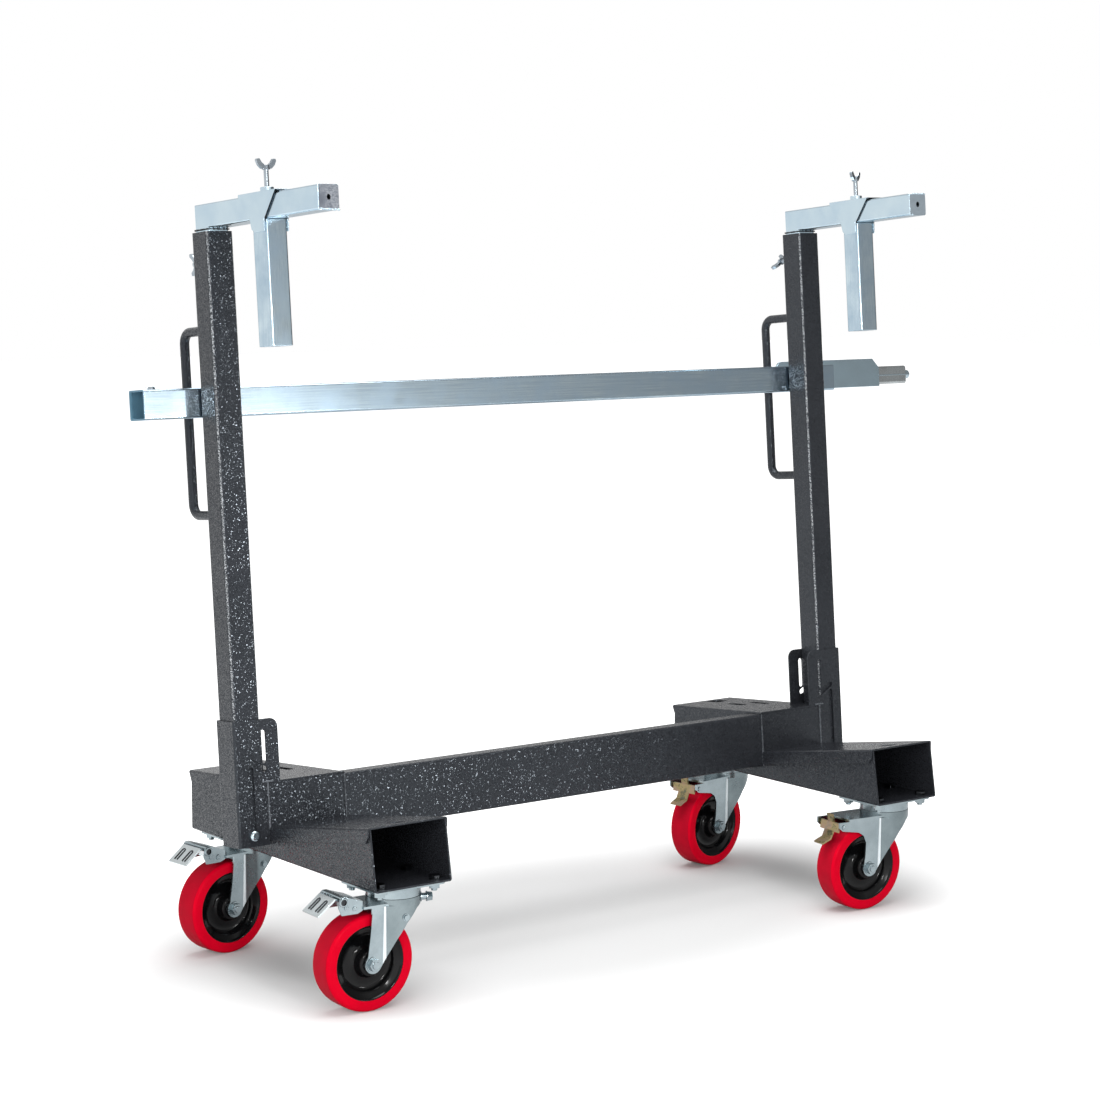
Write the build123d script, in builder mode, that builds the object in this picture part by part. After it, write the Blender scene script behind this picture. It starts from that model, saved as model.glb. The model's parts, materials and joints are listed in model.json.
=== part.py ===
"""Panel trolley: a welded base on four swivel casters carries two leaning masts with
telescopic arms, sliding clamps and a stored tow bar. Millimetres, floor at Z = 0."""

import os
from math import cos, radians, sin

from build123d import *

os.makedirs("parts", exist_ok=True)

# Frame: +X to the right, +Y to the back, origin under the middle of the overall length
mid_x = -116.0
front_y = -290.0
deck_z = 202.5
lean = 5.0

# Feet: folded sheet, seen from the side as (back from the front edge, up from the underside)
sheet = 3.0
fold_r = 4.0
foot_x = 546.0
tray_half = 73.5
lid_half = tray_half + sheet
tray_length = 577.0
bed_front = (16.85, 102.2)
bed_root = (312.3, 52.6)
bed_slope = (0.1655, 0.9862)
flange = 25.0
bed_hole = (52.0, 96.3)
bed_hole_r = 14.0

# Lean frame of the masts: d forward of the mast's axis, s up along it from the deck height
post_x = 652.5
post_y = front_y + 336.65
front_d = 28.5
lid_s = 125.0
lid_back_d = -233.35
tray_back_d = -230.7
beam_s = (21.5, 121.5)
beam_deep = 40.0
tube_wall = 3.0

# Mast sockets and their jogged slots
socket_s = (20.0, 230.0)
socket_out = 681.0
tab_in = 597.0
slot_wide = 10.0
slot_low = 38.0
slot_bend = (147.0, 161.0)
slot_top = 207.0
slot_jog = 26.5
bolt_r = 4.7

# Masts and handles
post_size = 50.0
post_s = (20.0, 1035.5)
handle_s = (569.0, 876.0)
handle_d = 112.0
handle_r = 8.0
handle_bend = 20.0
post_screw_s = 987.0
post_screw_stem = 22.0
screw_r = 4.0
screw_fit = 0.06
boss_r = 9.0
boss_high = 8.0

# Arms and clamps; each arm is turned a little inwards by the play in its mast
arm_size = 40.0
arm_toe = 2.5
arm_s = 1041.0
arm_front_d = 336.0
arm_leg_s = 711.0
tube_r = 4.0
slide_gap = 0.4
saddle_top_s = arm_s + arm_size + 3.5
clamp_leg_d = 170.0
clamp_leg_s = 839.0
clamp_screw_d = 168.0
clamp_stem = 36.0

# Stored bar
bar_size = 50.0
bar_d = -51.0
bar_s = 757.0
bar_x = (-782.0, 750.0)
hitch_x = (646.0, 922.0)
hitch_s = (736.0, 792.0)
hitch_thick = 6.0
lug_x = (898.0, 1003.0)
lug_size = (24.0, 36.0)
pin_out = 11.0
pin_r = 9.0
pin_s = 758.0
bar_screw_x = -754.0
bar_screw_size = 0.6

# Casters, from the swivel axis (x) and the underside of the foot (z); turn is the fork's yaw
caster_y = {"front": front_y + 60.0, "rear": front_y + 507.0}
caster_turn = {"front_left": -3.0, "rear_left": 5.5, "front_right": -6.0, "rear_right": 9.0}
plate_size = (135.0, 110.0)
plate_thick = 4.0
hole_pitch = (105.0, 80.0)
hole_r = 5.5
ring_r = 44.5
ring_z = -21.0
race_r = 28.0
crown_r = 45.0
crown_z = (-31.0, -27.0)
king_r = 8.0
trail = 57.0
wheel_r = 80.0
wheel_z = wheel_r - deck_z
wheel_half = 25.0
hub_half = 28.1
core_r = 61.5
bearing_r = 14.0
axle_r = 6.0
fork_in = 31.0
fork_out = 34.5
fork_fold = -37.0
web_in = (-13.4, 39.3)
web_out = (-15.2, 42.3)
leg_r = 15.0
brake_pivot = (-88.0, -28.0)
lock_pivot = (-118.0, -40.0)

sides = {"left": -1, "right": 1}
up = (0, sin(radians(lean)), cos(radians(lean)))


def save(builder, name):
    """Label a finished piece and write its file."""
    builder.part.label = name
    export_step(builder.part, f"parts/{name}.step")


def turned(plane, angle):
    """A plane turned about its own normal."""
    turn = radians(angle)
    return Plane(plane.origin, x_dir=plane.x_dir * cos(turn) + plane.y_dir * sin(turn), z_dir=plane.z_dir)


def post_plan(x, turn=0.0):
    """Plane square to the masts at deck height: local x across, y backwards, z up the mast."""
    return turned(Plane((x, post_y, deck_z), x_dir=(1, 0, 0), z_dir=up), turn)


def side_of(plan):
    """Side view of a plan plane: local x is its y, local y its z, normal its x."""
    return Plane(plan.origin, x_dir=plan.y_dir, z_dir=plan.x_dir)


def front_of(plan):
    """Front view of a plan plane: local x is its x, local y its z, normal against its y."""
    return Plane(plan.origin, x_dir=plan.x_dir, z_dir=-plan.y_dir)


def lean_point(s, d):
    """Lean frame to (back from the feet's front edge, up from their underside)."""
    back = post_y - front_y - d * up[2] + s * up[1]
    return (back, s * up[2] + d * up[1])


def below_bed(point, depth):
    """A point of the bed's top line moved square to it into the foot."""
    return (point[0] - depth * bed_slope[0], point[1] - depth * bed_slope[1])


def tray(side):
    """Folded channel of one foot: floor, two sides and a rear wall."""
    view = Plane((mid_x + side * foot_x, front_y, deck_z), x_dir=(0, 1, 0), z_dir=(1, 0, 0))
    web_back = front_d - sheet
    with BuildPart() as piece:
        with BuildSketch(view):
            Polygon(
                (0, 0),
                (tray_length, 0),
                lean_point(lid_s - sheet, tray_back_d),
                lean_point(lid_s - sheet, web_back),
                lean_point(47.0, web_back),
                below_bed(bed_root, sheet),
                below_bed(bed_front, sheet),
                align=None,
            )
        extrude(amount=tray_half, both=True)
        fillet(piece.faces().sort_by(Axis.Z)[0].edges().filter_by(Axis.Y), fold_r)
        with BuildSketch(view):
            Polygon((-50, sheet), (tray_length - sheet, sheet), (tray_length - sheet, 200), (-50, 200),
                    align=None)
        extrude(amount=tray_half - sheet, both=True, mode=Mode.SUBTRACT)
        for y in caster_y.values():
            with BuildSketch(Plane((mid_x + side * foot_x, y, deck_z))):
                with GridLocations(hole_pitch[0], hole_pitch[1], 2, 2):
                    Circle(hole_r)
            extrude(amount=sheet, mode=Mode.SUBTRACT)
    return piece


def bed(side):
    """Sloping load bed with a flange down each side of the tray."""
    x = mid_x + side * foot_x
    view = Plane((x, front_y, deck_z), x_dir=(0, 1, 0), z_dir=(1, 0, 0))
    low_root = below_bed(bed_root, flange)
    low_front = below_bed(bed_front, flange)
    with BuildPart() as piece:
        with BuildSketch(view):
            Polygon(
                bed_front,
                bed_root,
                lean_point(28.0, front_d),
                low_root,
                (low_front[0] + 12, low_front[1] - 2),
                (low_front[0] + 4, low_front[1] + 9),
                align=None,
            )
        extrude(amount=lid_half, both=True)
        top = piece.faces().sort_by(Axis((0, 0, 0), (0, *bed_slope)))[-1]
        fillet([edge for edge in top.edges() if edge.length > 200], fold_r)
        with BuildSketch(view):
            Polygon(
                below_bed(bed_front, sheet),
                below_bed((bed_root[0] + 20, bed_root[1] - 3.36), sheet),
                (bed_root[0] + 20, -50),
                (-50, -50),
                (-50, 98.0),
                align=None,
            )
        extrude(amount=tray_half, both=True, mode=Mode.SUBTRACT)
        with BuildSketch(Plane((x, front_y + bed_hole[0], deck_z + bed_hole[1]), z_dir=(0, *bed_slope))):
            Circle(bed_hole_r)
        extrude(amount=10, both=True, mode=Mode.SUBTRACT)
    return piece


def rear_lid(side):
    """Lid of one rear box: flat top, a side flange each way, plain slots in the top."""
    plan = post_plan(mid_x + side * foot_x)
    view = side_of(plan)
    low = lid_s - flange
    with BuildPart() as piece:
        with BuildSketch(plan.offset(lid_s - sheet)):
            with Locations((0, -(front_d + lid_back_d) / 2)):
                Rectangle(2 * lid_half, front_d - lid_back_d)
        extrude(amount=sheet)
        for edge, start in ((side, sheet - front_d), (-side, beam_deep - front_d + 0.5)):
            with BuildSketch(view.offset(edge * (tray_half + sheet / 2))):
                Polygon(
                    (start, lid_s - sheet),
                    (-lid_back_d, lid_s - sheet),
                    (-lid_back_d - 7, low + 4),
                    (-lid_back_d - 12, low),
                    (start, low),
                    align=None,
                )
            extrude(amount=sheet / 2, both=True)
        top = piece.faces().sort_by(Axis((0, 0, 0), up))[-1]
        fillet([edge for edge in top.edges() if edge.length > 200], fold_r)
        with BuildSketch(plan.offset(lid_s)):
            with Locations((14, 204)):
                RectangleRounded(32, 36, 9)
            with Locations((-4, 122)):
                SlotOverall(48, 16, rotation=90)
            with Locations((33, 98)):
                SlotOverall(50, 14, rotation=90)
        extrude(amount=-sheet, mode=Mode.SUBTRACT)
    return piece


def box_front(side):
    """Plate closing the front of one rear box, level with the beam's front face."""
    plan = post_plan(mid_x + side * foot_x)
    low, high = 48.0, lid_s - sheet
    with BuildPart() as piece:
        with BuildSketch(front_of(plan).offset(front_d - sheet)):
            with Locations((side * sheet / 2, (low + high) / 2)):
                Rectangle(tray_half + lid_half, high - low)
        extrude(amount=sheet)
    return piece


def socket(side):
    """Channel outside one foot that holds a mast, with a jogged slot in both plates."""
    plan = post_plan(mid_x)
    view = front_of(plan)
    inside = front_d - sheet
    post_c = side * post_x
    with BuildPart() as piece:
        with BuildSketch(plan.offset(socket_s[0])):
            with Locations((side * (tab_in + socket_out) / 2, 0)):
                Rectangle(socket_out - tab_in, 2 * front_d)
            with Locations((side * (tab_in + socket_out) / 2 - side * sheet, 0)):
                Rectangle(socket_out - tab_in, 2 * inside, mode=Mode.SUBTRACT)
        extrude(amount=socket_s[1] - socket_s[0])
        bends = piece.edges().filter_by(Axis((0, 0, 0), up)).group_by(SortBy.LENGTH)[-1]
        fillet(bends.sort_by(Axis.X, reverse=side > 0)[0:2], 4.0)
        with BuildSketch(view):
            with Locations((side * (tab_in + foot_x + lid_half) / 2, (socket_s[0] + lid_s) / 2)):
                Rectangle(foot_x + lid_half - tab_in, lid_s - socket_s[0])
            with Locations((side * (tab_in + 7.5), socket_s[1] - 7.5)):
                Rectangle(15, 15)
            with Locations((side * (tab_in + 15), socket_s[1] - 15)):
                Circle(15, mode=Mode.SUBTRACT)
            jog = ((post_c, slot_low), (post_c, slot_bend[0]), (post_c - side * slot_jog, slot_bend[1]),
                   (post_c - side * slot_jog, slot_top))
            for start, end in zip(jog, jog[1:]):
                run = Vector(*end) - Vector(*start)
                with Locations(((start[0] + end[0]) / 2, (start[1] + end[1]) / 2)):
                    turn = Vector(1, 0).get_signed_angle(run)
                    SlotCenterToCenter(run.length, slot_wide, rotation=turn)
        extrude(amount=2 * front_d, both=True, mode=Mode.SUBTRACT)
    return piece


def mast(side):
    """Square tube of one mast with its bolt holes and the welded nut of its wing screw."""
    plan = post_plan(mid_x + side * post_x)
    view = front_of(plan)
    half = post_size / 2
    with BuildPart() as piece:
        with BuildSketch(plan.offset(post_s[0])):
            RectangleRounded(post_size, post_size, 5.0)
            RectangleRounded(post_size - 2 * tube_wall, post_size - 2 * tube_wall, 2.0, mode=Mode.SUBTRACT)
        extrude(amount=post_s[1] - post_s[0])
        with BuildSketch(view.offset(-half)):
            with Locations((0, post_screw_s)):
                Circle(boss_r)
        extrude(amount=-boss_high)
        with BuildSketch(view.offset(-half - boss_high)):
            with Locations((0, post_screw_s)):
                Circle(screw_r + screw_fit)
        extrude(amount=boss_high + tube_wall + 1, mode=Mode.SUBTRACT)
        with BuildSketch(view.offset(-half)):
            with Locations((0, slot_low)):
                Circle(bolt_r)
        extrude(amount=post_size, mode=Mode.SUBTRACT)
    return piece


def handle(side):
    """Round rod bent into a D and welded to the back of one mast."""
    view = side_of(post_plan(mid_x + side * post_x))
    foot_at = view.from_local_coords((post_size / 2, handle_s[0], 0))
    with BuildPart() as piece:
        with BuildLine(view):
            FilletPolyline(
                (post_size / 2, handle_s[0]),
                (handle_d, handle_s[0]),
                (handle_d, handle_s[1]),
                (post_size / 2, handle_s[1]),
                radius=handle_bend,
            )
        with BuildSketch(Plane(foot_at, x_dir=(1, 0, 0), z_dir=view.x_dir)):
            Circle(handle_r)
        sweep()
    return piece


def slot_bolt(side):
    """Button-head bolt and nut through the mast and both plates of its socket."""
    view = front_of(post_plan(mid_x + side * post_x))
    seat = front_d + 0.3
    with BuildPart() as piece:
        with BuildSketch(view.offset(-seat - 11)):
            with Locations((0, slot_low)):
                Circle(bolt_r)
        extrude(amount=2 * seat + 11)
        with BuildSketch(view.offset(seat)):
            with Locations((0, slot_low)):
                Circle(9.0)
        extrude(amount=6.0)
        fillet(piece.faces().sort_by(Axis.Y)[0].edges(), 4.5)
        with BuildSketch(view.offset(-seat)):
            with Locations((0, slot_low)):
                RegularPolygon(9.2, 6)
        extrude(amount=-8.0)
    return piece


def wing_screw(seat, shaft, stem, turn, size=1.0):
    """Screw with two ears: its shaft runs down into seat, its stem stands out of it."""
    face = turned(seat, turn)
    ear = ((4, 0.5), (9.5, 1.5), (15.5, 7), (18.5, 13.5), (18, 17), (13, 17.5), (9, 11.5), (4, 7.5))
    with BuildPart() as piece:
        with BuildSketch(face.offset(-shaft)):
            Circle(screw_r)
        extrude(amount=shaft + stem)
        with BuildSketch(face.offset(stem)):
            Circle(6.5)
        extrude(amount=7.0 * size, taper=12)
        with BuildSketch(front_of(face.offset(stem))):
            with BuildLine():
                Polyline(*[(x * size, y * size) for x, y in ear], close=True)
            make_face()
            fillet([v for v in vertices() if v.X > 4.1 * size], 1.4 * size)
            mirror(about=Plane.YZ)
        extrude(amount=2.7 * size, both=True)
    return piece


def arm(side):
    """Inverted L of square tube: its leg stands in the mast, its front end is plated shut."""
    view = side_of(post_plan(mid_x + side * post_x, -side * arm_toe))
    half = arm_size / 2
    bore = half - tube_wall
    top = arm_s + arm_size
    with BuildPart() as piece:
        with BuildSketch(view):
            with BuildLine():
                Polyline(
                    (-arm_front_d, arm_s),
                    (-arm_front_d, top),
                    (half, top),
                    (half, arm_leg_s),
                    (-half, arm_leg_s),
                    (-half, arm_s),
                    close=True,
                )
            make_face()
            fillet(vertices().sort_by_distance(view.from_local_coords((half, top, 0)))[0], 8.0)
        extrude(amount=half, both=True)
        ends = piece.faces().group_by(Axis(view.origin, view.z_dir))
        long_edges = [edge for face in (ends[0][0], ends[-1][0]) for edge in face.edges()]
        fillet([edge for edge in long_edges if edge.length < 15 or edge.length > 45], tube_r)
        with BuildSketch(view):
            with Locations((0, (arm_leg_s + top - tube_wall) / 2)):
                Rectangle(2 * bore, top - tube_wall - arm_leg_s)
            with Locations(((bore - arm_front_d + tube_wall) / 2, arm_s + half)):
                Rectangle(arm_front_d - tube_wall + bore, 2 * bore)
        extrude(amount=bore, both=True, mode=Mode.SUBTRACT)
        with BuildSketch(front_of(post_plan(mid_x + side * post_x, -side * arm_toe)).offset(arm_front_d)):
            with Locations((0, arm_s + half)):
                Circle(3.0)
        extrude(amount=-tube_wall, mode=Mode.SUBTRACT)
    return piece


def saddle(side):
    """Folded sheet over one arm with cheeks down to the clamp leg and a nut on top."""
    plan = post_plan(mid_x + side * post_x, -side * arm_toe)
    inner = arm_size / 2 + slide_gap
    with BuildPart() as piece:
        with BuildSketch(side_of(plan)):
            Polygon(
                (-118, saddle_top_s),
                (-225, saddle_top_s),
                (-190, arm_s),
                (-188, 1021),
                (-160, 1021),
                (-152.5, 1026),
                (-148.5, arm_s),
                (-118, saddle_top_s - 5),
                align=None,
            )
        extrude(amount=inner + sheet, both=True)
        with BuildSketch(side_of(plan)):
            with Locations((-170, saddle_top_s - sheet - 60)):
                Rectangle(160, 120)
        extrude(amount=inner, both=True, mode=Mode.SUBTRACT)
        with BuildSketch(plan.offset(saddle_top_s)):
            with Locations((0, -clamp_screw_d)):
                Circle(11.0)
        extrude(amount=boss_high)
        with BuildSketch(plan.offset(saddle_top_s - 2 * sheet)):
            with Locations((0, -clamp_screw_d)):
                Circle(screw_r + screw_fit)
        extrude(amount=20, mode=Mode.SUBTRACT)
    return piece


def clamp_leg(side):
    """Square tube hanging between the saddle's cheeks, shut at its foot."""
    plan = post_plan(mid_x + side * post_x, -side * arm_toe)
    wide = arm_size + 2 * slide_gap
    top = arm_s - 0.5
    with BuildPart() as piece:
        with BuildSketch(plan.offset(clamp_leg_s)):
            with Locations((0, -clamp_leg_d)):
                RectangleRounded(wide, arm_size, 4.0)
        extrude(amount=top - clamp_leg_s)
        with BuildSketch(plan.offset(clamp_leg_s + tube_wall)):
            with Locations((0, -clamp_leg_d)):
                RectangleRounded(wide - 2 * tube_wall, arm_size - 2 * tube_wall, 1.5)
        extrude(amount=top - clamp_leg_s, mode=Mode.SUBTRACT)
    return piece


def caster_plan(name):
    """Plan plane of a caster on its swivel axis at the foot's underside."""
    end, hand = name.split("_")
    turn = radians(caster_turn[name])
    x = mid_x + sides[hand] * foot_x
    return Plane((x, caster_y[end], deck_z), x_dir=(cos(turn), sin(turn), 0), z_dir=(0, 0, 1))


def wheel_profile(name):
    """Half-section plane of a wheel on its centre: local x outwards, local y along the axle."""
    plan = caster_plan(name)
    centre = plan.from_local_coords((-trail, 0, wheel_z))
    return Plane(centre, x_dir=(0, 0, 1), z_dir=plan.x_dir)


def mirrored_ends(*points):
    """An outline of points on the +y side closed by the same points on the -y side."""
    return [*points, *[(x, -y) for x, y in reversed(points)]]


def fork(name):
    """Pressed fork: turning ring, crown, rounded web in front, two legs to the axle."""
    plan = caster_plan(name)
    view = front_of(plan)
    locking = name.endswith("right")
    reach = 128.0 if locking else 74.0
    shelf = 106.0 if locking else 74.0
    leg_back = ((-trail - leg_r, wheel_z), (-66.5, -108), (-62, -76), (-58, -34))
    arm_back = ((-trail - leg_r, wheel_z), (-68, -98), (-67, -74), (-73, -60), (-84, -53), (-121, -47),
                (-reach, -41), (-reach, -26), (-shelf, -22))
    with BuildPart() as piece:
        with BuildSketch(plan.offset(wheel_z - leg_r)):
            Circle(crown_r)
            Polygon(*mirrored_ends((-reach, fork_out), (fork_fold, fork_out), web_out), align=None)
            Circle(crown_r - 3.5, mode=Mode.SUBTRACT)
            Polygon(*mirrored_ends((-reach - 10, fork_in), (fork_fold - 0.7, fork_in), web_in), align=None,
                    mode=Mode.SUBTRACT)
        extrude(amount=crown_z[0] - wheel_z + leg_r)
        with BuildSketch(view):
            Polygon(*(arm_back if locking else leg_back), (-58, 0), (46, 0), (46, -31.5), (37, -32),
                    (20, -39.5), (0, -60), (-15.2, -82.5), (fork_fold, -119), (-45, -131.5),
                    (-trail, wheel_z - leg_r), align=None)
            with Locations((-trail, wheel_z)):
                Circle(leg_r)
        extrude(amount=60, both=True, mode=Mode.INTERSECT)
        with BuildSketch(plan.offset(crown_z[0])):
            Circle(crown_r)
            with Locations((-shelf / 2, 0)):
                Rectangle(shelf, 2 * fork_out)
        extrude(amount=crown_z[1] - crown_z[0])
        with BuildSketch(plan.offset(crown_z[1])):
            Circle(crown_r)
            Circle(36.0, mode=Mode.SUBTRACT)
        extrude(amount=ring_z - 0.6 - crown_z[1])
        with BuildSketch(plan.offset(crown_z[0])):
            Circle(king_r + screw_fit)
        extrude(amount=10, mode=Mode.SUBTRACT)
        with BuildSketch(view):
            with Locations((-trail, wheel_z)):
                Circle(axle_r)
        extrude(amount=60, both=True, mode=Mode.SUBTRACT)
        if locking:
            with BuildSketch(view):
                with Locations(lock_pivot):
                    Circle(3.0)
            extrude(amount=fork_out, both=True)
    return piece


def axle(name):
    """Axle bolt with its nut and a spacer each side of the hub."""
    view = front_of(caster_plan(name))
    with BuildPart() as piece:
        with BuildSketch(view):
            with Locations((-trail, wheel_z)):
                Circle(axle_r)
        extrude(amount=fork_out + 10, both=True)
        for sign in (1, -1):
            with BuildSketch(view.offset(sign * fork_out)):
                with Locations((-trail, wheel_z)):
                    RegularPolygon(10.5, 6)
            extrude(amount=sign * 7.5)
            with BuildSketch(view.offset(sign * fork_in)):
                with Locations((-trail, wheel_z)):
                    RegularPolygon(16.5, 6)
            extrude(amount=sign * -2.4)
    return piece


def tyre(name):
    """Tyre ring with rounded shoulders."""
    profile = wheel_profile(name)
    with BuildPart() as piece:
        with BuildSketch(profile):
            with BuildLine():
                Polyline((core_r, -wheel_half), (wheel_r, -wheel_half), (wheel_r, wheel_half),
                         (core_r, wheel_half), close=True)
            make_face()
            fillet(vertices().sort_by(Axis.X)[2:4], 5.0)
        revolve(axis=Axis(profile.origin, profile.y_dir))
    return piece


def core(name):
    """Moulded wheel centre: rim, dished web and long hub."""
    profile = wheel_profile(name)
    half = ((bearing_r, hub_half), (20, hub_half), (22.5, 13), (26, 10), (43, 9), (48, 16.5), (58.5, 21.5),
            (59.5, 23.5), (core_r, 23.5))
    with BuildPart() as piece:
        with BuildSketch(profile):
            with BuildLine():
                Polyline(*half, *[(r, -y) for r, y in reversed(half)], close=True)
            make_face()
        revolve(axis=Axis(profile.origin, profile.y_dir))
    return piece


def bearing(name):
    """Roller sleeve in the hub, running on the axle."""
    profile = wheel_profile(name)
    with BuildPart() as piece:
        with BuildSketch(profile):
            with Locations(((bearing_r + axle_r + screw_fit) / 2, 0)):
                Rectangle(bearing_r - axle_r - screw_fit, 2 * hub_half)
        revolve(axis=Axis(profile.origin, profile.y_dir))
    return piece


def brake_housing(name):
    """Folded bracket over the wheel with the brake pedal's hinge pin."""
    view = front_of(caster_plan(name))
    with BuildPart() as piece:
        with BuildSketch(view):
            Polygon((-114, -6.5), (-106, -6.5), (-74, -17), (-74, -33), (-83.5, -37), (-112, -37),
                    (-118, -24), align=None)
        extrude(amount=31, both=True)
        with BuildSketch(view):
            Polygon((-140, -9.5), (-106.4, -9.5), (-70, -21.4), (-70, -60), (-140, -60), align=None)
        extrude(amount=28, both=True, mode=Mode.SUBTRACT)
        with BuildSketch(view):
            with Locations(brake_pivot):
                Circle(3.5)
        extrude(amount=32.5, both=True)
    return piece


def brake_pedal(name):
    """Foot pedal: a barrel on the hinge pin and a bent tread plate."""
    view = front_of(caster_plan(name))
    with BuildPart() as piece:
        with BuildSketch(view):
            Polygon((-88, -30.5), (-108, -15), (-115, -11), (-121, -9), (-152.5, -33.5), (-150.6, -35.9),
                    (-120.4, -12.2), (-116, -13.8), (-109.5, -17.6), (-90, -33), align=None)
        extrude(amount=25, both=True)
        with BuildSketch(view):
            with Locations(brake_pivot):
                Circle(6.0)
        extrude(amount=27.5, both=True)
        with BuildSketch(view):
            with Locations(brake_pivot):
                Circle(3.5 + screw_fit)
        extrude(amount=40, both=True, mode=Mode.SUBTRACT)
    return piece


def lock_lever(name):
    """Direction lock lever: a barrel on the fork's pin, a folded plate, an upright tab and a paddle."""
    view = front_of(caster_plan(name))
    with BuildPart() as piece:
        with BuildSketch(view):
            Polygon((-119.5, -34), (-123.5, -34), (-126.5, -50), (-123.5, -51), align=None)
        extrude(amount=27, both=True)
        with BuildSketch(view):
            Polygon((-126.5, -49), (-132.5, -62), (-150.5, -69.5), (-149.2, -72.3), (-130.4, -64.6),
                    (-123.5, -50), align=None)
        extrude(amount=13, both=True)
        with BuildSketch(view):
            Polygon((-125, -19.5), (-122, -19.5), (-117, -40), (-122, -40), align=None)
        extrude(amount=8, both=True)
        with BuildSketch(view):
            with Locations(lock_pivot):
                Circle(5.0)
        extrude(amount=fork_in - 0.5, both=True)
        with BuildSketch(view):
            with Locations(lock_pivot):
                Circle(3.0 + screw_fit)
        extrude(amount=40, both=True, mode=Mode.SUBTRACT)
    return piece


# Cross beam: rectangular tube between the feet
with BuildPart() as cross_beam:
    with BuildSketch(side_of(post_plan(mid_x))):
        with Locations((beam_deep / 2 - front_d, sum(beam_s) / 2)):
            RectangleRounded(beam_deep, beam_s[1] - beam_s[0], 4.0)
            RectangleRounded(beam_deep - 2 * tube_wall, beam_s[1] - beam_s[0] - 2 * tube_wall, 1.5,
                             mode=Mode.SUBTRACT)
    extrude(amount=foot_x - tray_half, both=True)
save(cross_beam, "cross_beam")

# Feet, sockets, masts, arms and clamps, left and right
for hand, side in sides.items():
    save(tray(side), f"{hand}_foot_tray")
    save(bed(side), f"{hand}_load_bed")
    save(rear_lid(side), f"{hand}_rear_lid")
    save(box_front(side), f"{hand}_box_front")
    save(socket(side), f"{hand}_mast_socket")
    save(mast(side), f"{hand}_mast")
    save(handle(side), f"{hand}_handle")
    save(slot_bolt(side), f"{hand}_slot_bolt")
    save(arm(side), f"{hand}_arm")
    save(saddle(side), f"{hand}_clamp_saddle")
    save(clamp_leg(side), f"{hand}_clamp_leg")
    mast_plan = post_plan(mid_x + side * post_x)
    rear_seat = mast_plan.from_local_coords((0, post_size / 2 + boss_high, post_screw_s))
    mast_seat = Plane(rear_seat, x_dir=up, z_dir=mast_plan.y_dir)
    save(wing_screw(mast_seat, boss_high + 4.7, post_screw_stem, 20 + 25 * side), f"{hand}_mast_screw")
    clamp_plan = post_plan(mid_x + side * post_x, -side * arm_toe)
    top_seat = clamp_plan.from_local_coords((0, -clamp_screw_d, saddle_top_s + boss_high))
    clamp_seat = Plane(top_seat, x_dir=clamp_plan.x_dir, z_dir=up)
    clamp_screw = wing_screw(clamp_seat, boss_high + 3.2, clamp_stem - boss_high, 12 + 12 * side)
    save(clamp_screw, f"{hand}_clamp_screw")

# Stored bar: tube, hitch plate, lug with pin, wing screw
bar_view = side_of(post_plan(mid_x))
bar_front = front_of(post_plan(mid_x))
bar_back = bar_d - bar_size / 2
with BuildPart() as bar_tube:
    with BuildSketch(bar_view.offset(bar_x[0])):
        with Locations((-bar_d, bar_s)):
            RectangleRounded(bar_size, bar_size, 4.0)
            RectangleRounded(bar_size - 2 * tube_wall, bar_size - 2 * tube_wall, 1.5, mode=Mode.SUBTRACT)
    extrude(amount=bar_x[1] - bar_x[0])
    with BuildSketch(post_plan(mid_x).offset(bar_s)):
        with Locations((bar_screw_x, -bar_d)):
            Circle(screw_r + screw_fit)
    extrude(amount=bar_size, mode=Mode.SUBTRACT)
save(bar_tube, "bar_tube")

with BuildPart() as hitch_plate:
    with BuildSketch(bar_front.offset(bar_back)):
        with BuildLine():
            Polyline((hitch_x[0], hitch_s[0]), (hitch_x[0], hitch_s[1]), (hitch_x[1] - 17, hitch_s[1]),
                     (hitch_x[1], hitch_s[1] - 18), (hitch_x[1], hitch_s[0]), close=True)
        make_face()
        fillet(vertices().group_by(Axis.X)[0].sort_by(Axis.Y)[-1], 14.0)
    extrude(amount=-hitch_thick)
save(hitch_plate, "hitch_plate")

with BuildPart() as hitch_pin:
    with BuildSketch(bar_view.offset(lug_x[0])):
        with Locations((hitch_thick - bar_back + lug_size[0] / 2, pin_s)):
            RectangleRounded(lug_size[0], lug_size[1], 5.0)
    extrude(amount=lug_x[1] - lug_x[0])
    with BuildSketch(bar_view.offset(lug_x[1])):
        with Locations((hitch_thick - bar_back + lug_size[0] / 2, pin_s)):
            Circle(pin_r)
    extrude(amount=pin_out)
    fillet(hitch_pin.faces().sort_by(Axis.X)[-1].edges(), 1.5)
save(hitch_pin, "hitch_pin")

bar_top = post_plan(mid_x).from_local_coords((bar_screw_x, -bar_d, bar_s + bar_size / 2))
save(wing_screw(Plane(bar_top, x_dir=(1, 0, 0), z_dir=up), 9.0, 0.4, -20, bar_screw_size), "bar_screw")

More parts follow.
